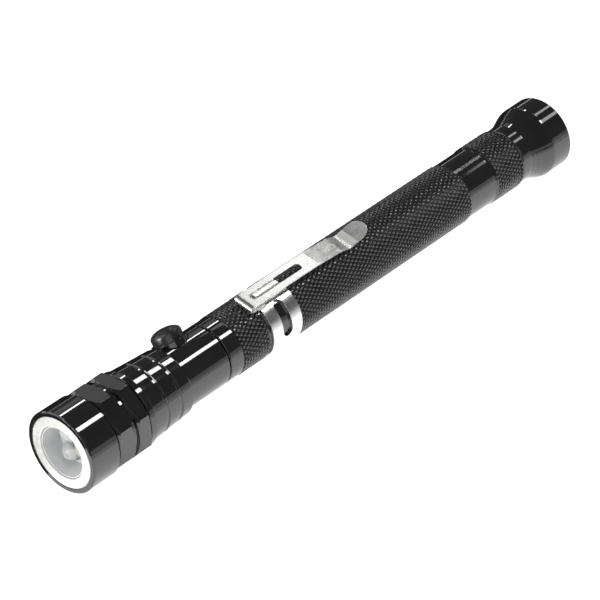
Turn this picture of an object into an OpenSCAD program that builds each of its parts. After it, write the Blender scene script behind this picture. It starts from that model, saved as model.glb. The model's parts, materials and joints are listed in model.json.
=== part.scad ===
// Telescopic magnetic pickup tool with a lamp in its head and a flexible neck.
// Frame: X runs from the tail magnet's face (X = 0) to the ring magnet's face,
// Z points up through the middle of the pocket clip's arm.
// Distances called "back" are measured from the front face towards the tail.

/* [Whole tool] */
// Length from the tail magnet's face to the front face, closed
total_len = 168; // [168:0.5:176]
// Radius of the knurled grip
grip_r = 7.75; // [7.7:0.01:7.8]

/* [Lamp head] */
// Radius of the front rim
rim_r = 10.2; // [10:0.05:10.4]
// Distance across the flats of the two eight-sided bands
band_flats = 19.4; // [19:0.1:19.6]
// Distance back to the seam between the battery housing and the barrel
seam_back = 46.4; // [46.3:0.1:46.5]
// Radius of the battery housing's plain rear section
housing_r = 7.6; // [7.5:0.05:7.7]
// Number of LEDs
led_count = 3; // [2:1:3]
// Number of button cells
cell_count = 4; // [1:1:4]

/* [Push button] */
// Distance back to the button's axis
button_back = 39; // [38.8:0.1:39.1]
// Angle of the button around the tool, from straight up
button_turn = 45; // [0:1:90]
// Radius of the button's domed cap
button_cap_r = 3.75; // [3.6:0.05:3.8]
// Height of the dome's top above the battery housing
button_proud = 3.3; // [3.2:0.05:3.4]

/* [Flexible neck] */
// Radius of the neck's coil
neck_r = 3.9; // [3.7:0.05:4]
// Number of rigid links that stand in for the coil
link_count = 7; // [5:1:8]

/* [Telescopic mast] */
// Number of moving tubes, thickest first
tube_count = 5; // [3:1:5]
// Radius of the fixed outer sleeve
sleeve_r = 4.6; // [4.5:0.05:4.65]
// How much smaller each stage's radius is than the one around it
stage_step = 0.55; // [0.52:0.01:0.56]
// Wall of each tube
tube_wall = 0.25; // [0.2:0.01:0.25]
// Length of each tube
tube_len = 65.5; // [60:0.5:65.5]

/* [Pocket clip] */
// Distance back to the front of the band's groove
groove_back = 59.6; // [59.5:0.1:59.7]
// Width of the clip's arm
clip_arm_w = 5.2; // [4.8:0.1:5.4]
// Thickness of the clip's spring steel
clip_t = 0.5; // [0.4:0.05:0.5]

/* [Hidden] */

$fn = 96;
eps = 0.01;
run_gap = 0.05;              // radial clearance of sliding fits

// Lamp head, distances back from the front face
ring_deep = 3;
ring_out_r = 8.97;
ring_in_r = 6.52;
cup_back = 9.3;              // back of the LED cup
board_t = 1.1;
board_r = 8.2;
spigot_front = cup_back + board_t + 0.05;
spigot_r = 8.2;
flats_turn = -7.7;           // turn of the eight-sided bands from a corner straight up
bezel_back = 18.45;          // back of the bezel, where it meets the housing's shoulder
cell_r = 5.8;
cell_t = 5.4;
cell_front = 12.6;
cell_back = cell_front + cell_count * cell_t;
housing_bore_r = 6.2;
contact_t = 0.6;
wall_front = 44;             // inner end wall of the battery housing
led_r = 2.45;
led_ring_r = 2.95;           // circle that the LEDs sit on
led_tip = 2.3;
lead_side = 1.27;            // half the spacing of an LED's two leads
lead_r = 0.25;

// Push button, distances along its own axis from the tool's axis
collar_r = 4.4;
collar_low = 5.9;
switch_low = 0.9;
switch_high = 5.1;
plunger_r = 1;
stem_low = 6.3;              // the stem's inner end, 1.2 above the switch so that it can travel 1

// Neck, distances back
stud_r = 2.5;
stud_front = wall_front - 1.8;
ferrule_r = 4.2;
ferrule_front = seam_back + 0.15;
neck_front = 50;             // middle of the neck's first gap
neck_back = 87;              // middle of its last gap
link_pitch = (neck_back - neck_front) / link_count;
link_gap = 0.8;              // room for a 10 degree bend
ball_r = 1.5;
socket_r = ball_r + 0.06;
ball_lead = 1;               // a ball's centre lies this far ahead of its gap's middle
stem_neck_r = 0.85;
rod_socket = 91;             // back of the rear ferrule

// Mast
mast_front = 91.6;
lip_len = 1.2;
shoe_len = 4;
function stage_r(i) = sleeve_r - i * stage_step;   // stage 0 is the sleeve

// Barrel and tail
mouth_back = seam_back + 0.3;
barrel_bore_r = 5.9;
tail_front = 151.9;          // front of the tail cap's visible part
tail_r = 9.3;
pocket_front = 162;          // bottom of the tail magnet's pocket
pocket_r = 7.5;
plug_bore_r = 4.75;          // room for the mast's rear end inside the cap
relief_front = 131.5;        // plain band between the two knurled lengths
relief_back = 141.2;
relief_r = 7.46;
groove_r = 7.2;
groove_len = 10.9;

// Clip
band_front = 60.7;
band_back = 70.4;
band_in_r = groove_r + run_gap;
band_out_r = band_in_r + clip_t + 0.05;
band_half = 150;             // the band reaches this far each side of the arm
band_slot_w = 3;
fold_r = 1.05;
fold_back = 58.05;           // axis of the fold between band and arm
arm_tip_back = 98.6;
arm_mid_z = 9.75;
arm_slot_front = 59.6;
arm_slot_back = 76.4;
arm_slot_w = 2.1;

// ---------- helpers ----------

// Places children at a distance back from the front face
module at(back) {
    translate([total_len - back, 0, 0]) children();
}

// Solid of revolution about X. Points are [distance back, radius].
module turned(points) {
    rotate([0, 90, 0])
        rotate_extrude()
            polygon([for (p = points) [p[1], total_len - p[0]]]);
}

// Tube or disc about X between two distances back
module ring(front, back, out_r, in_r = 0) {
    turned([[front, in_r], [front, out_r], [back, out_r], [back, in_r]]);
}

// Disc or tube with its outer edges broken by a small chamfer
module soft_ring(front, back, out_r, in_r = 0, edge = 0.15) {
    turned([
        [front, in_r], [front, out_r - edge], [front + edge, out_r],
        [back - edge, out_r], [back, out_r - edge], [back, in_r]
    ]);
}

// Places children on the button's axis, which becomes their Z
module on_button_axis() {
    at(button_back) rotate([button_turn, 0, 0]) children();
}

// ---------- lamp head ----------

// One eight-sided band. Its corners are turned off by cones front_cut and back_cut long.
module flats_band(front, back, front_cut, back_cut) {
    sides = 8;
    corner_r = band_flats / 2 / cos(180 / sides);
    intersection() {
        at(back) rotate([flats_turn, 0, 0]) rotate([0, 90, 0])
            cylinder(h = back - front, r = corner_r, $fn = sides);
        turned([
            [front, 0], [front, band_flats / 2 - 0.05], [front + front_cut, corner_r + eps],
            [back - back_cut, corner_r + eps], [back, band_flats / 2 - 0.05], [back, 0]
        ]);
    }
}

module bezel() {
    color("#17181a") difference() {
        union() {
            turned([
                [0, 0], [0, rim_r - 0.3], [0.3, rim_r], [8, rim_r - 0.05], [8.2, rim_r - 0.3],
                [8.25, 9.5], [8.65, 9.5], [8.7, 9.2], [bezel_back - 0.3, 9.2],
                [bezel_back - 0.25, 9.05], [bezel_back, 9.05], [bezel_back, 0]
            ]);
            flats_band(8.7, 13.5, 0.75, 0.85);
            flats_band(14.75, bezel_back - 0.1, 0.75, 0.35);
        }
        ring(-1, ring_deep, ring_out_r + 0.03);
        ring(ring_deep - eps, 8 + eps, 6.45);
        ring(8, bezel_back + 1, spigot_r + 0.1);
    }
}

module bezel_o_ring() {
    color("black") soft_ring(bezel_back + 0.02, bezel_back + 0.42, 8.9, spigot_r + 0.05);
}

module ring_magnet() {
    color("silver") turned([
        [0, ring_in_r + 0.15], [0, ring_out_r - 0.25], [0.25, ring_out_r], [ring_deep - 0.05, ring_out_r],
        [ring_deep - 0.05, ring_in_r], [0.15, ring_in_r]
    ]);
}

// Places children at one LED's place
module led_place(i) {
    rotate([button_turn + (i - 1) * 360 / led_count, 0, 0]) translate([0, 0, led_ring_r]) children();
}

module led_cup() {
    color("#8d9094") difference() {
        turned([
            [0.4, 6.1], [0.4, 6.35], [7.6, 6.35], [8.05, 6.35], [8.05, board_r], [cup_back, board_r],
            [cup_back, 0], [5.2, 0], [5.2, 5.7]
        ]);
        for (i = [1 : led_count]) led_place(i) ring(4, cup_back + 1, led_r + run_gap);
    }
}

// Places children at both leads of an LED
module lead_places() {
    for (side = [-1, 1]) translate([0, side * lead_side, 0]) children();
}

module led(i) {
    color("#dfe6ea", 0.6) led_place(i) {
        at(led_tip + led_r) sphere(r = led_r);
        ring(led_tip + led_r, cup_back, led_r);
        lead_places() ring(cup_back - 0.5, cup_back + board_t + 0.3, lead_r);
    }
}

module led_board() {
    color("#1f5b3a") difference() {
        ring(cup_back, cup_back + board_t, board_r);
        for (i = [1 : led_count])
            led_place(i) lead_places() ring(cup_back - 1, cup_back + board_t + 1, lead_r + run_gap);
    }
}

// Conical battery spring, swept along t from 0 at the board to 1 at the first cell
spring_turns = 3;
spring_wire_r = 0.2;
spring_wide_r = 1.9;
spring_tip_r = 1.1;
spring_steps = 48;
spring_sides = 8;
function spring_point(t) =
    let (
        a = 360 * spring_turns * t,
        r = spring_wide_r - (spring_wide_r - spring_tip_r) * t,
        front = cup_back + board_t + spring_wire_r,
        back = cell_front - spring_wire_r
    )
    [total_len - front - t * (back - front), r * cos(a), r * sin(a)];
function spring_vertex(t, side) =
    let (a = 360 * spring_turns * t, b = 360 * side / spring_sides)
    spring_point(t) + spring_wire_r * [sin(b), cos(b) * cos(a), cos(b) * sin(a)];

module battery_spring() {
    points = [
        for (k = [0 : spring_steps])
            for (side = [0 : spring_sides - 1]) spring_vertex(k / spring_steps, side)
    ];
    last = spring_steps * spring_sides;
    walls = [
        for (k = [0 : spring_steps - 1])
            for (side = [0 : spring_sides - 1])
                let (next = (side + 1) % spring_sides, a = k * spring_sides)
                [a + side, a + next, a + spring_sides + next, a + spring_sides + side]
    ];
    ends = [
        [for (side = [spring_sides - 1 : -1 : 0]) side],
        [for (side = [0 : spring_sides - 1]) last + side]
    ];
    color("#c9a24d") polyhedron(points, concat(walls, ends), convexity = 6);
}

module button_cell(i) {
    front = cell_front + (i - 1) * cell_t;
    color("#c8cacc") turned([
        [front, 0], [front, 4.3], [front + 0.35, 4.5], [front + 0.35, cell_r - 0.3],
        [front + 0.65, cell_r], [front + cell_t - 0.3, cell_r], [front + cell_t, cell_r - 0.3],
        [front + cell_t, 0]
    ]);
}

module battery_sleeve() {
    color("#e8e6df") ring(spigot_front + 1, cell_back, cell_r + 0.35, cell_r + run_gap);
}

module battery_housing() {
    shoulder = bezel_back + 0.45;
    color("#17181a") difference() {
        turned([
            [spigot_front, 0], [spigot_front, spigot_r - 0.3], [spigot_front + 0.3, spigot_r],
            [shoulder, spigot_r], [shoulder, 9.3], [shoulder + 0.2, 9.5], [20.6, 9.5], [20.7, 9.18],
            [24.45, 8.94], [24.5, 8.6], [25.2, 8.6], [25.4, 8.87],
            [29.05, 8.63], [29.1, 8.3], [29.75, 8.3], [29.95, 8.57],
            [33.2, 8.38], [33.6, 8.1], [33.7, housing_r],
            [seam_back - 0.2, housing_r], [seam_back, housing_r - 0.2], [seam_back, 0]
        ]);
        ring(spigot_front - 1, wall_front, housing_bore_r);
        ring(wall_front - 1, seam_back + 1, stud_r + run_gap);
        on_button_axis() translate([0, 0, 3]) cylinder(h = 8, r = collar_r + run_gap);
    }
}

module rear_contact() {
    color("#c9a24d") soft_ring(cell_back, cell_back + contact_t, cell_r);
}

module switch_body() {
    side = 6;
    color("#2b2b2d") difference() {
        on_button_axis() translate([-side / 2, -side / 2, switch_low])
            cube([side, side, switch_high - switch_low]);
        on_button_axis() translate([0, 0, 3]) cylinder(h = 8, r = plunger_r + run_gap);
    }
}

module switch_plunger() {
    color("white") on_button_axis() translate([0, 0, stem_low - 2.2]) cylinder(h = 2.2, r = plunger_r);
}

// The button's profile is turned about its own axis: a straight side and a domed top
module button_cap() {
    top = housing_r + button_proud;
    dome_low = top - 1.6;
    color("#101113") on_button_axis() rotate_extrude() polygon([
        [0, stem_low], [button_cap_r - 0.2, stem_low], [button_cap_r, stem_low + 0.2],
        for (a = [0 : 15 : 90]) [button_cap_r * cos(a), dome_low + (top - dome_low) * sin(a)]
    ]);
}

module button_collar() {
    color("#17181a") on_button_axis() difference() {
        translate([0, 0, collar_low]) cylinder(h = housing_r + 0.15 - collar_low, r = collar_r);
        cylinder(h = 20, r = button_cap_r + run_gap);
    }
}

// ---------- flexible neck ----------

module neck_nut() {
    color("silver") difference() {
        at(wall_front - 0.1) rotate([0, 90, 0]) cylinder(h = 1.9, r = 4, $fn = 6);
        ring(wall_front - 4, wall_front, stud_r + run_gap);
    }
}

// Part of a circle about a gap's ball centre, as [distance back, radius].
// Angles run from 0 at the circle's front to 180 at its back.
function ball_arc(gap, r, from, to) =
    [for (k = [0 : 12]) let (a = from + (to - from) * k / 12) [gap - ball_lead - r * cos(a), r * sin(a)]];

// Profile of the ball that the next piece towards the head turns on, with its stem
function neck_ball(gap) = concat(
    ball_arc(gap, ball_r, 0, 180 - asin(stem_neck_r / ball_r)),
    [[gap + link_gap / 2, stem_neck_r]]
);

// Profile of the socket for it, whose lip closes behind the ball's widest part
function neck_socket(gap) =
    ball_arc(gap, socket_r, 180 - acos((ball_lead - link_gap / 2) / socket_r), 0);

module neck_front_ferrule() {
    color("#b9bcc0") turned(concat(
        [
            [stud_front, 0], [stud_front, stud_r - 0.3], [stud_front + 0.3, stud_r],
            [ferrule_front, stud_r], [ferrule_front, ferrule_r], [neck_front - 0.9, ferrule_r],
            [neck_front - link_gap / 2, neck_r - 0.1]
        ],
        neck_socket(neck_front)
    ));
}

// One link: rounded ridges like turns of wire, a ball in front, a socket behind
module neck_link(i) {
    gap_front = neck_front + (i - 1) * link_pitch;
    gap_back = gap_front + link_pitch;
    front = gap_front + link_gap / 2;
    back = gap_back - link_gap / 2;
    ridges = 3;
    ridge = (back - front) / ridges;
    ridge_high = 0.3;
    color("#9a9da1") turned(concat(
        neck_ball(gap_front),
        [[front, neck_r - ridge_high]],
        [for (k = [0 : ridges - 1])
            for (a = [0.08, 0.28, 0.5, 0.72, 0.92])
                [front + (k + a) * ridge, neck_r - ridge_high * (1 - sin(180 * a))]],
        [[back, neck_r - ridge_high]],
        neck_socket(gap_back)
    ));
}

module neck_rear_ferrule() {
    rod_end = rod_socket - 2.5;
    rod_r = stage_r(tube_count + 1) + run_gap;
    color("#b9bcc0") turned(concat(
        neck_ball(neck_back),
        [
            [neck_back + link_gap / 2, neck_r - 0.1], [neck_back + 0.9, ferrule_r],
            [rod_socket - 0.3, ferrule_r], [rod_socket, ferrule_r - 0.3],
            [rod_socket, rod_r], [rod_end, rod_r], [rod_end, 0]
        ]
    ));
}

// ---------- telescopic mast ----------

// Tube of one stage, its front end rolled in to a lip around the next stage
module stage_tube(i, back) {
    r = stage_r(i);
    lip_r = stage_r(i + 1) + run_gap;
    turned([
        [mast_front, lip_r], [mast_front, r - 0.12], [mast_front + 0.12, r], [back, r],
        [back, r - tube_wall], [mast_front + lip_len, r - tube_wall], [mast_front + lip_len - 0.15, lip_r]
    ]);
}

module mast_tube(i) {
    color("#d4d6d9") stage_tube(i, mast_front + tube_len);
}

module mast_sleeve() {
    color("#d4d6d9") stage_tube(0, mast_front + tube_len + 1);
}

module mast_rod() {
    r = stage_r(tube_count + 1);
    color("#d4d6d9") ring(rod_socket - 2.3, mast_front + tube_len, r);
}

// Brass shoe on the rear of a stage. It rubs in the tube around it and stops at that tube's lip.
module mast_shoe(i) {
    back = mast_front + tube_len;
    out_r = stage_r(i - 1) - tube_wall - 0.03;
    color("#c9a24d") soft_ring(back - shoe_len, back + 0.5, out_r, stage_r(i) + eps);
}

module mast_bush_front() {
    color("#2b2b2d") soft_ring(mast_front + 2, mast_front + 7, barrel_bore_r - 0.02, sleeve_r + 0.02);
}

module mast_bush_rear() {
    color("#2b2b2d") soft_ring(136, 143, barrel_bore_r - 0.02, sleeve_r + 0.02);
}

// ---------- barrel ----------

module barrel() {
    color("#1d1e20") difference() {
        turned([
            [mouth_back, 0], [mouth_back, housing_r - 0.2], [mouth_back + 0.2, housing_r],
            [50.9, housing_r], [51, grip_r], [groove_back, grip_r],
            [groove_back, groove_r], [groove_back + groove_len, groove_r],
            [groove_back + groove_len, grip_r], [relief_front, grip_r], [relief_front + 0.2, relief_r],
            [relief_back, relief_r], [relief_back + 0.4, grip_r - 0.1], [relief_back + 0.8, grip_r],
            [151.3, grip_r], [tail_front, grip_r - 0.35], [tail_front, 0]
        ]);
        ring(mouth_back - 1, tail_front + 1, barrel_bore_r);
    }
}

// ---------- pocket clip ----------

// Stadium outline: as long as given along Y, with round ends
module stadium(length, width) {
    for (end = [-1, 1]) translate([0, end * (length - width) / 2]) circle(r = width / 2);
    square([width, length - width], center = true);
}

// Side view, X against Z, of the tab and the fold that join the band to the arm
module clip_fold_outline() {
    x = total_len - fold_back;
    mid_z = arm_mid_z - fold_r + clip_t / 2;
    low = mid_z - fold_r;
    polygon([
        [x, low], [total_len - groove_back - 0.2, low], [total_len - groove_back - 0.2, band_in_r + 0.1],
        [x - 4.5, band_in_r + 0.1], [x - 4.5, low], [x - 4, low + clip_t], [x, low + clip_t]
    ]);
    difference() {
        translate([x, mid_z]) circle(r = fold_r);
        translate([x, mid_z]) circle(r = fold_r - clip_t);
        translate([x - 5, mid_z - 5]) square([5, 10]);
    }
}

module clip_band() {
    slot_mid = (band_front + band_back) / 2;
    slot_turn = 53;
    slot_len = 9;
    half_open = 180 - band_half;
    color("#e6e7e9") {
        difference() {
            ring(band_front, band_back, band_out_r, band_in_r);
            at(band_back + 1) rotate([90, 0, 90]) linear_extrude(band_back - band_front + 2)
                polygon([[0, 0], [-20 * tan(half_open), -20], [20 * tan(half_open), -20]]);
            for (side = [-1, 1])
                at(slot_mid) rotate([side * slot_turn, 0, 0]) translate([0, 0, 3])
                    linear_extrude(8) stadium(slot_len, band_slot_w);
        }
        translate([0, clip_arm_w / 2, 0]) rotate([90, 0, 0]) linear_extrude(clip_arm_w) clip_fold_outline();
    }
}

// Side outline of the arm as a strip of constant thickness along a bent centre line
arm_line = [
    [fold_back + 0.12, arm_mid_z], [70, arm_mid_z + 0.12], [80, arm_mid_z + 0.05], [88.2, arm_mid_z - 0.5],
    [91, 8.15], [92, 8.15], [94, 8.6], [arm_tip_back, 9.9]
];
function arm_edge(p, side) = [total_len - p[0], p[1] + side * clip_t / 2];

module clip_arm() {
    tip_r = clip_arm_w / 2;
    tip_x = total_len - arm_tip_back + tip_r;
    color("#e6e7e9") intersection() {
        translate([0, 10, 0]) rotate([90, 0, 0]) linear_extrude(20) polygon(concat(
            [for (p = arm_line) arm_edge(p, 1)],
            [for (k = [len(arm_line) - 1 : -1 : 0]) arm_edge(arm_line[k], -1)]
        ));
        difference() {
            union() {
                translate([tip_x, -tip_r, 0]) cube([total_len - fold_back - tip_x, clip_arm_w, 30]);
                translate([tip_x, 0, 0]) cylinder(h = 30, r = tip_r);
            }
            at((arm_slot_front + arm_slot_back) / 2) rotate([0, 0, 90])
                linear_extrude(40) stadium(arm_slot_back - arm_slot_front, arm_slot_w);
        }
    }
}

// ---------- tail ----------

module tail_cap() {
    color("#17181a") difference() {
        turned([
            [144, plug_bore_r], [144, barrel_bore_r - 0.35], [144.3, barrel_bore_r - 0.02],
            [tail_front + 0.05, barrel_bore_r - 0.02], [tail_front + 0.05, 7.2], [tail_front + 0.25, 7.4],
            [155.2, 7.4], [156.6, 7.62], [158.2, 8.1], [159.8, 8.75], [161.3, 9.25], [161.8, tail_r],
            [total_len - 0.4, tail_r], [total_len, tail_r - 0.4], [total_len, 0],
            [158.5, 0], [158.5, plug_bore_r]
        ]);
        ring(pocket_front, total_len + 1, pocket_r);
    }
}

module tail_magnet() {
    color("silver") turned([
        [pocket_front + 1, 0], [pocket_front + 1, pocket_r - run_gap], [total_len - 0.3, pocket_r - run_gap],
        [total_len, pocket_r - run_gap - 0.3], [total_len, 0]
    ]);
}

module magnet_plate() {
    color("#8a8d91") ring(pocket_front, pocket_front + 1, pocket_r - run_gap);
}

// ---------- assembly ----------

bezel();
bezel_o_ring();
ring_magnet();
led_cup();
for (i = [1 : led_count]) led(i);
led_board();
battery_spring();
for (i = [1 : cell_count]) button_cell(i);
battery_sleeve();
battery_housing();
rear_contact();
switch_body();
switch_plunger();
button_cap();
button_collar();
neck_nut();
neck_front_ferrule();
for (i = [1 : link_count]) neck_link(i);
neck_rear_ferrule();
for (i = [1 : tube_count]) mast_tube(i);
mast_rod();
for (i = [1 : tube_count + 1]) mast_shoe(i);
mast_sleeve();
mast_bush_front();
mast_bush_rear();
barrel();
clip_band();
clip_arm();
tail_cap();
tail_magnet();
magnet_plate();
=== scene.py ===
"""Looks of the telescopic magnetic pickup tool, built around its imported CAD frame.

+X runs along the tool from the tail to the lamp, +Z points up through the middle of the clip's arm.
Profiles are lists of (distance back from the front face, radius) in millimetres, as in the CAD.
Every other length is in metres.
"""

import json
import math

import bmesh
import bpy
from mathutils import Matrix, Vector


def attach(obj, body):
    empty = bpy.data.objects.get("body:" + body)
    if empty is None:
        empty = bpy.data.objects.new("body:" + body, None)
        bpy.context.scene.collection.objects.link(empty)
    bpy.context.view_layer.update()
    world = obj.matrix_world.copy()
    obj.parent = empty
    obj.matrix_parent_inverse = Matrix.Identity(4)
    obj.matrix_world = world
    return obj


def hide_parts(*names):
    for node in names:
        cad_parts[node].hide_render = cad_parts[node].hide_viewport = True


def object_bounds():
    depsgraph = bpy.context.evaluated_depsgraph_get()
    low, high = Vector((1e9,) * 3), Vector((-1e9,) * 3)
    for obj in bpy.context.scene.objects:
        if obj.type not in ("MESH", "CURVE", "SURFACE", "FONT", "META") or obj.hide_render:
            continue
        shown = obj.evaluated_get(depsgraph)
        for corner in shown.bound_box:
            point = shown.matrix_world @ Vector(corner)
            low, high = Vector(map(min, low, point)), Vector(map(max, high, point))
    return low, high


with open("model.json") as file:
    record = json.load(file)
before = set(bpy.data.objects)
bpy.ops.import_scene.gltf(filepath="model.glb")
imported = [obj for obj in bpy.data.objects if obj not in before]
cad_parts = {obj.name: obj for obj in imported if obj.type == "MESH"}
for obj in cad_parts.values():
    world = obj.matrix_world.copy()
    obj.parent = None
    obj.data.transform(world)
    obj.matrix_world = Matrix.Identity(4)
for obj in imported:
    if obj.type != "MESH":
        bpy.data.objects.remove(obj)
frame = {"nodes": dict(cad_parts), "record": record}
nodes = frame["nodes"]
cad_box = [list(corner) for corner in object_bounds()]

MM = 0.001
FRONT = cad_box[1][0]               # X of the front face
TABLE = cad_box[0][2] - 0.0002      # height of the table's top
TOOL_MIDDLE = Vector((FRONT / 2, 0, 0))
BARREL = {
    "mouth": 46.7,
    "knurl": 51.0,                  # where the knurl starts
    "groove": (59.6, 70.5),         # for the clip's band
    "relief": (131.5, 142.0),       # smooth waist near the tail
    "end": 151.3,                   # where the knurl ends
    "tail": 151.9,
    "bore": 5.9,                    # the rest are radii
    "grip": 7.75,
    "valley": 7.47,
    "under": 7.4,                   # just below the knurl's valleys
}
LED_RING = 2.95                     # from the tool's axis to each LED's
LED_FIRST_TURN = 45                 # degrees from straight up
LED_POST_GAP = 1.27                 # from an LED's axis to its post
LEDS = (1, 2, 3)

STUDIO_GREY = 0.11                  # dark surroundings
FLOOR_SHADE = 0.8
FLOOR_GLOW = 0.97                   # the paper is lit up to white


# ---------------------------------------------------------------- camera and light


def photo_camera():
    """Long lens from in front of the lamp, above and to the left of the tool."""
    eye = Vector((0.56112, 0.33526, 0.53411))
    forward = Vector((-0.59781, -0.42480, -0.67983)).normalized()
    up = Vector((-0.44678, -0.52757, 0.72254))
    right = forward.cross(up).normalized()
    up = right.cross(forward)
    data = bpy.data.cameras.new("photo_camera")
    data.sensor_width = 36.0
    data.lens = 204.0
    data.clip_start, data.clip_end = 0.05, 20.0
    camera = bpy.data.objects.new("photo_camera", data)
    bpy.context.collection.objects.link(camera)
    turn = Matrix((right, up, -forward)).transposed()
    camera.matrix_world = Matrix.Translation(eye) @ turn.to_4x4()
    bpy.context.scene.camera = camera


photo_camera()


def area_light(name, centre, side, away, size, brightness):
    """A rectangle of light that shines against away; brightness doesn't depend on its size."""
    data = bpy.data.lights.new(name, "AREA")
    data.shape = "RECTANGLE"
    data.size, data.size_y = size
    data.energy = brightness * math.pi * size[0] * size[1]
    light = bpy.data.objects.new(name, data)
    bpy.context.collection.objects.link(light)
    turn = Matrix((side, away.cross(side), away)).transposed()
    light.matrix_world = Matrix.Translation(centre) @ turn.to_4x4()
    light.visible_camera = False


def panel_light(name, angle, spread, lean, length, brightness, distance=3.0):
    """A far panel; spread and length are how many degrees of sky it fills across and along the tool.

    Angle turns it about the tool from straight up towards -Y, and lean tips it towards the tail.
    """
    a, e = math.radians(angle), math.radians(lean)
    away = Vector((-math.sin(e), -math.sin(a) * math.cos(e), math.cos(a) * math.cos(e)))
    across = Vector((0, math.cos(a), math.sin(a)))
    width = 2 * distance * math.cos(e) * math.tan(math.radians(spread) / 2)
    height = 2 * distance * math.tan(math.radians(length) / 2)
    area_light(name, TOOL_MIDDLE + away * distance, across, away, (width, height), brightness)


def board_light(name, centre, target, brightness, size):
    """A small, near light that faces a point on the tool."""
    away = (Vector(centre) - Vector(target)).normalized()
    side = Vector((0, 1, 0)).cross(away).normalized()
    area_light(name, Vector(centre), side, away, size, brightness)


def floor_sheet(name, low, high, height, shade, glow):
    """A flat sheet between two corners; shade is its own grey and glow the light it gives."""
    mesh = bpy.data.meshes.new(name)
    corners = [(low[0], low[1]), (high[0], low[1]), (high[0], high[1]), (low[0], high[1])]
    mesh.from_pydata([(x, y, height) for x, y in corners], [], [(0, 1, 2, 3)])
    sheet = bpy.data.objects.new(name, mesh)
    bpy.context.collection.objects.link(sheet)
    material = bpy.data.materials.new(name)
    material.use_nodes = True
    shader = material.node_tree.nodes["Principled BSDF"]
    shader.inputs["Base Color"].default_value = (shade, shade, shade, 1)
    shader.inputs["Roughness"].default_value = 1.0
    shader.inputs["Emission Color"].default_value = (1, 1, 1, 1)
    shader.inputs["Emission Strength"].default_value = glow
    mesh.materials.append(material)
    return sheet


def studio():
    """Dark room over a white table; each panel draws one stripe or fill on the tool.

    The dim panels carry on where a bright one's reflection leaves the tapered nose. The black
    card is seen only in reflections, where it darkens the metal's lower far side.
    """
    panel_light("key_panel", angle=-7.5, spread=10.5, lean=33.2, length=9, brightness=13)
    panel_light("key_panel_dim", angle=-7, spread=10, lean=42.6, length=2.6, brightness=3)
    panel_light("edge_panel", angle=53, spread=4.6, lean=32, length=9, brightness=12)
    panel_light("top_panel_dim", angle=68, spread=16, lean=32, length=9, brightness=0.38)
    panel_light("taper_panel", angle=22, spread=14.5, lean=39.5, length=2.2, brightness=11)
    panel_light("taper_panel_dim", angle=22, spread=7, lean=42.6, length=2.6, brightness=3)
    panel_light("low_panel", angle=-75.3, spread=11, lean=35, length=70, brightness=0.45)
    panel_light("lower_panel", angle=-86.7, spread=11, lean=35, length=70, brightness=0.8)
    panel_light("near_fill", angle=-40, spread=46, lean=-28, length=40, brightness=1.0)
    panel_light("far_fill", angle=62, spread=50, lean=-24, length=46, brightness=1.0)
    panel_light("clip_panel", angle=33, spread=36, lean=66, length=22, brightness=1.3)
    board_light("face_board", (0.60, -0.12, 0.06), (FRONT, 0, 0), 9, (0.25, 0.25))
    board_light("clip_board", (0.033, -0.043, 0.086), (0.0915, 0, 0.01), 0.95, (0.035, 0.05))

    world = bpy.data.worlds.new("studio")
    world.use_nodes = True
    world.node_tree.nodes["Background"].inputs["Color"].default_value = (STUDIO_GREY,) * 3 + (1,)
    bpy.context.scene.world = world
    bpy.context.scene.view_settings.view_transform = "Standard"

    floor_sheet("floor", (-4, -4), (4, 4), TABLE, FLOOR_SHADE, FLOOR_GLOW)
    card = floor_sheet("black_card", (-0.15, -0.5), (0.19, -0.004), TABLE + 0.0001, 0.01, 0.0)
    card.visible_camera = False
    card.visible_diffuse = False
    card.visible_shadow = False
    card.visible_transmission = False


studio()


# ---------------------------------------------------------------- materials


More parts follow.
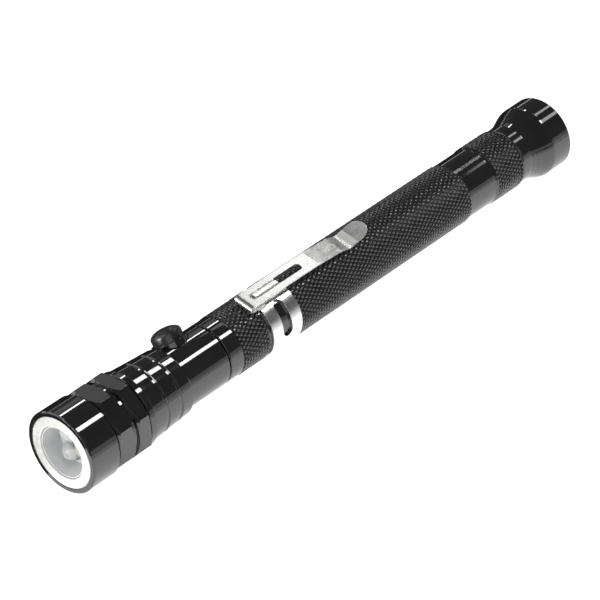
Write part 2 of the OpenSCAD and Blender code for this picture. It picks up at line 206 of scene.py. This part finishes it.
class Shading:
    """Short names for the nodes of one material."""

    def __init__(self, name):
        """Starts a material; place is the point's position in the tool's frame."""
        self.material = bpy.data.materials.new(name)
        self.material.use_nodes = True
        self.tree = self.material.node_tree
        self.shader = self.tree.nodes["Principled BSDF"]
        self.place = self.node("ShaderNodeTexCoord").outputs["Object"]

    def node(self, kind, **settings):
        made = self.tree.nodes.new(kind)
        for key, value in settings.items():
            setattr(made, key, value)
        return made

    def link(self, source, target):
        self.tree.links.new(source, target)

    def math(self, operation, *values):
        made = self.node("ShaderNodeMath", operation=operation)
        for socket, value in zip(made.inputs, values):
            if isinstance(value, (int, float)):
                socket.default_value = value
            else:
                self.link(value, socket)
        return made.outputs[0]

    def radius(self):
        """Distance from the tool's axis."""
        split = self.node("ShaderNodeSeparateXYZ")
        self.link(self.place, split.inputs[0])
        squares = [self.math("MULTIPLY", split.outputs[k], split.outputs[k]) for k in (1, 2)]
        return self.math("SQRT", self.math("ADD", *squares))

    def rings(self):
        """Coordinates that are the same all the way round, for marks left by turning."""
        split = self.node("ShaderNodeSeparateXYZ")
        self.link(self.place, split.inputs[0])
        join = self.node("ShaderNodeCombineXYZ")
        self.link(split.outputs[0], join.inputs[0])
        self.link(self.radius(), join.inputs[1])
        return join.outputs[0]

    def stretched(self, along, across):
        """Coordinates scaled along X and across it, for brushed or drawn metal."""
        mapping = self.node("ShaderNodeMapping")
        mapping.inputs["Scale"].default_value = (along, across, across)
        self.link(self.place, mapping.inputs["Vector"])
        return mapping.outputs[0]

    def noise(self, scale, detail=3.0, coordinates=None):
        made = self.node("ShaderNodeTexNoise")
        made.inputs["Scale"].default_value = scale
        made.inputs["Detail"].default_value = detail
        self.link(coordinates or self.place, made.inputs["Vector"])
        return made.outputs["Fac"]

    def ramp(self, value, low, high, start=0.3, end=0.7):
        """Value from start to end mapped on to low to high."""
        made = self.node("ShaderNodeMapRange")
        made.inputs["From Min"].default_value = start
        made.inputs["From Max"].default_value = end
        made.inputs["To Min"].default_value = low
        made.inputs["To Max"].default_value = high
        self.link(value, made.inputs["Value"])
        return made.outputs[0]

    def colours(self, value, low, high, start=0.3, end=0.7):
        made = self.node("ShaderNodeValToRGB")
        made.color_ramp.elements[0].position = start
        made.color_ramp.elements[0].color = (*low, 1)
        made.color_ramp.elements[1].position = end
        made.color_ramp.elements[1].color = (*high, 1)
        self.link(value, made.inputs[0])
        return made.outputs[0]

    def set(self, **values):
        for key, value in values.items():
            socket = self.shader.inputs[key.replace("_", " ")]
            if isinstance(value, bpy.types.NodeSocket):
                self.link(value, socket)
            elif isinstance(value, tuple):
                socket.default_value = (*value, 1)
            else:
                socket.default_value = value

    def bump(self, height, depth, edge=0.0):
        """Fine relief; edge is the radius that sharp edges are shaded with."""
        made = self.node("ShaderNodeBump")
        if edge:
            rounded = self.node("ShaderNodeBevel", samples=6)
            rounded.inputs["Radius"].default_value = edge
            self.link(rounded.outputs[0], made.inputs["Normal"])
        made.inputs["Strength"].default_value = 1.0
        made.inputs["Distance"].default_value = depth
        self.link(height, made.inputs["Height"])
        self.link(made.outputs[0], self.shader.inputs["Normal"])


def black_anodised():
    """Glossy black over turned aluminium, with faint rings and a little handling haze."""
    s = Shading("black_anodised")
    haze = s.noise(160, 4)
    s.set(
        Base_Color=s.colours(haze, (0.006, 0.006, 0.0065), (0.014, 0.014, 0.0145)),
        Roughness=s.ramp(haze, 0.035, 0.075),
        IOR=1.85,
    )
    s.bump(s.noise(2200, 2, s.rings()), 0.0000012, 0.00013)
    return s.material


def black_knurl():
    """Satin black whose diamond tips are rubbed brighter; the lighter tips are partly real wear and
    partly a painted glint.
    """
    s = Shading("black_knurl")
    tip = s.ramp(s.radius(), 0, 1, (BARREL["grip"] - 0.12) * MM, (BARREL["grip"] - 0.02) * MM)
    wear_and_glint = s.math("MULTIPLY", tip, s.ramp(s.noise(350, 3), 0.2, 1.0, 0.35, 0.65))
    s.set(
        # the tips' lighter colour is rubbed wear and also a painted glint
        Base_Color=s.colours(wear_and_glint, (0.012, 0.012, 0.0125), (0.10, 0.10, 0.098), 0.0, 1.0),
        Roughness=s.ramp(s.noise(900, 3), 0.16, 0.3),
        IOR=1.8,
    )
    s.bump(s.noise(9000, 2), 0.000006)
    return s.material


def metal(
    name, low, high, rough, depth=0.000002, coordinates="rings", scale=2500, patches=120,
    metallic=1.0, edge=0.0
):
    """Bare or plated metal: marks left by turning ("rings") or drawing ("drawn"), and dull patches."""
    s = Shading(name)
    if coordinates == "rings":
        marks = s.noise(scale, 3, s.rings())
    else:
        marks = s.noise(scale, 3, s.stretched(0.06, 1.0))
    patch = s.noise(patches, 3)
    both = s.math("MULTIPLY_ADD", marks, 0.5, s.math("MULTIPLY", patch, 0.5))
    s.set(
        Base_Color=s.colours(patch, low, high),
        Metallic=metallic,
        Roughness=s.ramp(both, rough[0], rough[1], 0.35, 0.65),
    )
    s.bump(marks, depth, edge)
    return s.material


def plastic(name, low, high, rough, grain=2500, depth=0.000003, ior=1.5):
    """Moulded plastic or rubber: an even colour under a fine grain."""
    s = Shading(name)
    patch = s.noise(200, 3)
    s.set(
        Base_Color=s.colours(patch, low, high),
        Roughness=s.ramp(s.noise(grain, 2), rough[0], rough[1]),
        IOR=ior,
    )
    s.bump(s.noise(grain, 2), depth)
    return s.material


def clear_epoxy():
    """Water-clear LED lens, slightly cloudy."""
    s = Shading("clear_epoxy")
    swirl = s.noise(700, 3)
    s.set(
        Base_Color=s.colours(swirl, (0.88, 0.9, 0.92), (0.96, 0.97, 0.98)),
        Roughness=s.ramp(swirl, 0.12, 0.25),
        Transmission_Weight=0.6,
        IOR=1.5,
    )
    s.bump(swirl, 0.000004)
    return s.material


def green_board():
    """Solder mask over a fine glass weave."""
    s = Shading("green_board")
    weave = s.noise(5000, 2)
    s.set(
        Base_Color=s.colours(s.noise(400, 3), (0.008, 0.07, 0.025), (0.015, 0.11, 0.04)),
        Roughness=s.ramp(weave, 0.3, 0.45),
    )
    s.bump(weave, 0.000004)
    return s.material


def phosphor():
    """Yellow coating of a white LED's chip, with the lamp off."""
    s = Shading("phosphor")
    grain = s.noise(9000, 2)
    s.set(
        Base_Color=s.colours(grain, (0.75, 0.62, 0.12), (0.85, 0.74, 0.22)),
        Roughness=s.ramp(grain, 0.5, 0.7),
    )
    s.bump(grain, 0.000005)
    return s.material


BLACK = black_anodised()
KNURL = black_knurl()
LOOKS = {
    "black_gloss": BLACK,
    "black_grip": BLACK,
    "magnet_nickel": metal(
        "satin_nickel", (0.74, 0.735, 0.72), (0.90, 0.895, 0.87), (0.4, 0.55), 0.000006, "rings",
        scale=1400, patches=900, metallic=0.4
    ),
    "lamp_grey": plastic("lamp_grey", (0.60, 0.60, 0.605), (0.74, 0.74, 0.745), (0.28, 0.42)),
    "led_clear": clear_epoxy(),
    "board_green": green_board(),
    "brass": metal("brass", (0.66, 0.47, 0.20), (0.80, 0.60, 0.28), (0.22, 0.36)),
    "cell_steel": metal("cell_steel", (0.60, 0.60, 0.58), (0.74, 0.74, 0.72), (0.2, 0.34)),
    "sleeve_plastic": plastic("sleeve_plastic", (0.72, 0.70, 0.64), (0.80, 0.78, 0.73), (0.4, 0.55)),
    "switch_black": plastic("switch_black", (0.015, 0.015, 0.016), (0.03, 0.03, 0.031), (0.4, 0.55)),
    "switch_white": plastic("switch_white", (0.72, 0.72, 0.70), (0.82, 0.82, 0.80), (0.35, 0.5)),
    "button_black": plastic(
        "button_black", (0.012, 0.012, 0.013), (0.045, 0.045, 0.045), (0.1, 0.3),
        grain=1500, depth=0.00003, ior=1.6
    ),
    "seal_rubber": plastic("seal_rubber", (0.012, 0.012, 0.012), (0.03, 0.03, 0.03), (0.6, 0.8)),
    "neck_steel": metal("neck_steel", (0.42, 0.42, 0.43), (0.60, 0.60, 0.61), (0.22, 0.38)),
    "mast_chrome": metal(
        "mast_chrome", (0.78, 0.78, 0.80), (0.90, 0.90, 0.91), (0.06, 0.18), 0.0000008, "drawn"
    ),
    "bush_plastic": plastic("bush_plastic", (0.02, 0.02, 0.021), (0.04, 0.04, 0.041), (0.45, 0.6)),
    "clip_steel": metal(
        "clip_steel", (0.78, 0.78, 0.77), (0.87, 0.87, 0.86), (0.2, 0.3), 0.0000025, "drawn",
        scale=1500, patches=420, edge=0.00012
    ),
    "plate_steel": metal("plate_steel", (0.45, 0.45, 0.46), (0.6, 0.6, 0.61), (0.3, 0.45)),
}
SLOT_OF = {part["node"]: part["material_slot"] for part in frame["record"]["subparts"]}


def dress(obj, material):
    """Gives a whole mesh one material."""
    obj.data.materials.clear()
    obj.data.materials.append(material)
    for face in obj.data.polygons:
        face.material_index = 0


for name, node in nodes.items():
    dress(node, LOOKS[SLOT_OF[name]])


# ---------------------------------------------------------------- pieces


def piece(name, mesh, material, body, stands_for=(), sharp=32):
    """Finishes a mesh drawn in the row frame as a piece that rides on a body."""
    for face in mesh.polygons:
        face.use_smooth = True
    mesh.set_sharp_from_angle(angle=math.radians(sharp))
    obj = bpy.data.objects.new(name, mesh)
    bpy.context.collection.objects.link(obj)
    dress(obj, material)
    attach(obj, body)
    if stands_for:
        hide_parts(*stands_for)
    return obj


def spot(back, angle, radius):
    """Point in metres at a distance back and a radius in millimetres, angle from straight up."""
    return (FRONT - back * MM, radius * MM * math.sin(angle), radius * MM * math.cos(angle))


def turned_mesh(name, profile, sides, place=None):
    """Solid of revolution about X from a closed profile; place moves it afterwards."""
    rings = []
    mesh_points = []
    faces = []
    for back, radius in profile:
        start = len(mesh_points)
        count = sides if radius else 1
        mesh_points.extend(spot(back, 2 * math.pi * k / count, radius) for k in range(count))
        rings.append(range(start, start + count))
    for i, first in enumerate(rings):
        second = rings[(i + 1) % len(rings)]
        if len(first) == 1 and len(second) == 1:
            continue
        for k in range(sides):
            n = (k + 1) % sides
            corners = [
                first[k % len(first)],
                first[n % len(first)],
                second[n % len(second)],
                second[k % len(second)],
            ]
            faces.append(list(dict.fromkeys(corners)))
    mesh = bpy.data.meshes.new(name)
    mesh.from_pydata(mesh_points, [], faces)
    if place is not None:
        mesh.transform(place)
    work = bmesh.new()
    work.from_mesh(mesh)
    bmesh.ops.recalc_face_normals(work, faces=work.faces)
    work.to_mesh(mesh)
    work.free()
    return mesh


def barrel_core():
    """Smooth parts of the barrel; between them it lies just under the knurl's valleys."""
    mouth, end, tail = BARREL["mouth"], BARREL["end"], BARREL["tail"]
    groove, relief = BARREL["groove"], BARREL["relief"]
    bore, under = BARREL["bore"], BARREL["under"]
    front_rim = [
        (mouth, bore), (mouth, 7.4), (46.76, 7.52), (46.9, 7.6), (46.98, 7.6), (50.72, 7.6),
        (50.8, 7.6), (50.9, 7.56), (50.95, under),
    ]
    clip_groove = [
        (groove[0] - 0.05, under), (groove[0], 7.2), (groove[1], 7.2), (groove[1] + 0.05, under),
    ]
    waist = [
        (relief[0] - 0.02, under), (relief[0] + 0.02, 7.46), (relief[0] + 0.1, 7.46), (141.1, 7.46),
        (141.2, 7.46), (141.6, 7.65), (141.95, 7.73), (relief[1] + 0.05, under),
    ]
    tail_rim = [
        (end - 0.05, under), (end, 7.72), (end + 0.15, 7.68), (151.8, 7.44), (tail, 7.34),
        (tail, bore),
    ]
    core = turned_mesh("barrel_core", front_rim + clip_groove + waist + tail_rim, 160)
    piece("barrel_core", core, BLACK, "barrel", ["barrel"])


def knurl(name, front, back):
    """Diamond knurl between two distances back: rows of four-sided points with their tips cut off."""
    around = 42                     # points in each row
    half_pitch = 0.93               # from one row to the next
    tip = 0.34                      # share of a point's width that its cut top keeps
    valley, peak = BARREL["valley"], BARREL["grip"]
    inner = 7.3                     # where the end walls stop
    step = 2 * math.pi / around

    work = bmesh.new()
    rows = int((back - front) / half_pitch) + 4
    first = front - half_pitch * 1.4
    net = []
    for i in range(rows + 2):
        offset = 0.5 * (i % 2)
        row = [
            work.verts.new(spot(first + i * half_pitch, (j + offset) * step, valley))
            for j in range(around)
        ]
        net.append(row)
    for i in range(rows):
        middle = first + (i + 1) * half_pitch
        offset = 0.5 * (i % 2)
        for j in range(around):
            angle = (j + offset) * step
            left = j - 1 if i % 2 == 0 else j
            base = [
                net[i][j],
                net[i + 1][(left + 1) % around],
                net[i + 2][j],
                net[i + 1][left % around],
            ]
            top = [
                work.verts.new(spot(middle - tip * half_pitch, angle, peak)),
                work.verts.new(spot(middle, angle + tip * step / 2, peak)),
                work.verts.new(spot(middle + tip * half_pitch, angle, peak)),
                work.verts.new(spot(middle, angle - tip * step / 2, peak)),
            ]
            work.faces.new(top)
            for k in range(4):
                n = (k + 1) % 4
                work.faces.new((base[k], base[n], top[n], top[k]))
    for at, side in ((front, 1), (back, -1)):
        x = FRONT - at * MM
        bmesh.ops.bisect_plane(
            work,
            geom=work.verts[:] + work.edges[:] + work.faces[:],
            plane_co=(x, 0, 0),
            plane_no=(side, 0, 0),
            clear_outer=True,
        )
        rim = [e for e in work.edges if e.is_boundary and all(abs(v.co.x - x) < 1e-6 for v in e.verts)]
        made = bmesh.ops.extrude_edge_only(work, edges=rim)["geom"]
        for v in made:
            if isinstance(v, bmesh.types.BMVert):
                out = Vector((0, v.co.y, v.co.z)).normalized()
                v.co = Vector((x, 0, 0)) + out * inner * MM
    bmesh.ops.recalc_face_normals(work, faces=work.faces)
    mesh = bpy.data.meshes.new(name)
    work.to_mesh(mesh)
    work.free()
    piece(name, mesh, KNURL, "barrel", sharp=12)


def led_insides(number):
    """Lead frame inside one LED: a small reflector cup with its stem and chip, and the second post."""
    turn = math.radians(LED_FIRST_TURN + (number - 1) * 360 / len(LEDS))
    centre = Vector((0, -math.sin(turn), math.cos(turn))) * LED_RING * MM
    cup = [(5.0, 0), (5.0, 0.62), (4.3, 0.95), (4.3, 0.8), (4.75, 0.45), (4.75, 0)]
    post = [(4.6, 0), (4.6, 0.3), (4.7, 0.36), (9.2, 0.36), (9.2, 0)]
    chip = [(4.62, 0), (4.55, 0.3), (4.62, 0.42), (4.74, 0.42), (4.74, 0)]
    side = Vector((0, math.cos(turn), math.sin(turn))) * LED_POST_GAP * MM
    stem = [(5.0, 0), (5.0, 0.36), (9.2, 0.36), (9.2, 0)]
    for kind, profile, shift, material, slot in (
        ("cup", cup, side * -0.35, LOOKS["magnet_nickel"], "magnet_nickel"),
        ("stem", stem, side * -0.6, LOOKS["magnet_nickel"], "magnet_nickel"),
        ("post", post, side * 1.0, LOOKS["magnet_nickel"], "magnet_nickel"),
        ("chip", chip, side * -0.35, PHOSPHOR, "led_clear"),
    ):
        mesh = turned_mesh(f"led_{number}_{kind}", profile, 32, Matrix.Translation(centre + shift))
        piece(f"led_{number}_{kind}", mesh, material, "bezel")


PHOSPHOR = phosphor()
barrel_core()
knurl("knurl_front", BARREL["knurl"], BARREL["groove"][0])
knurl("knurl_grip", BARREL["groove"][1], BARREL["relief"][0])
knurl("knurl_tail", BARREL["relief"][1], BARREL["end"])
for number in LEDS:
    led_insides(number)
